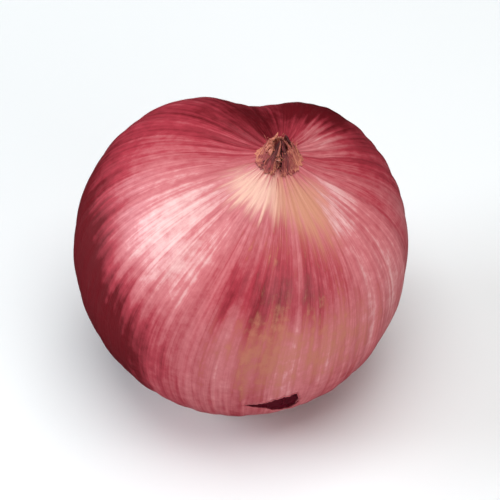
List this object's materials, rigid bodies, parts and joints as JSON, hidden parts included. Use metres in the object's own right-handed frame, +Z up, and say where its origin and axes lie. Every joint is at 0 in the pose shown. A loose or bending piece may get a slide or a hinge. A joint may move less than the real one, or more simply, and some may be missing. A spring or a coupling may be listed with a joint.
{
  "type": "pink shallot",
  "caption": "Small pink shallot bulb with a papery dry skin, a short dried neck off its middle and a rooted base plate that it stands on.",
  "frame": {"origin": "middle of the small flat foot of the root plate, which the shallot stands on", "axes": "+Z up from the foot towards the neck, +X along the widest girth towards the side that the neck is shifted to, -Y towards the side that faces the picture's camera"},
  "size_m": [0.0351, 0.034, 0.0358],
  "materials": {
    "shallot_skin": "satin"
  },
  "bodies": {
    "root": {"bulb": "shallot_skin"}
  },
  "joints": []
}
